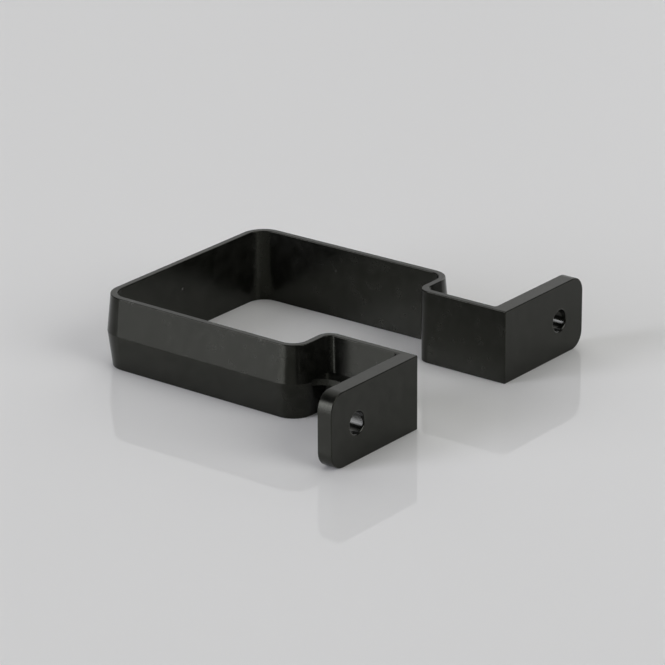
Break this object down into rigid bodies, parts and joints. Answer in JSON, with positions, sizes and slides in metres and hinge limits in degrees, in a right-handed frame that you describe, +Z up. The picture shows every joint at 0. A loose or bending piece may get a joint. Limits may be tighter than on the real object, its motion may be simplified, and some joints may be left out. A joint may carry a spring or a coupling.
{
  "type": "downpipe bracket",
  "caption": "Black moulded bracket that loops round a square downpipe and stands it off a wall on arms with outward screw feet.",
  "frame": {"origin": "midway between the two screw holes, on the plane of the feet's wall faces", "axes": "+X along the wall through both screw holes, +Y into the wall, +Z up along the pipe"},
  "size_m": [0.114, 0.0978, 0.021],
  "materials": {
    "plastic": "smooth black moulded plastic with a soft gloss"
  },
  "bodies": {
    "root": {"bracket": "plastic"}
  },
  "joints": []
}
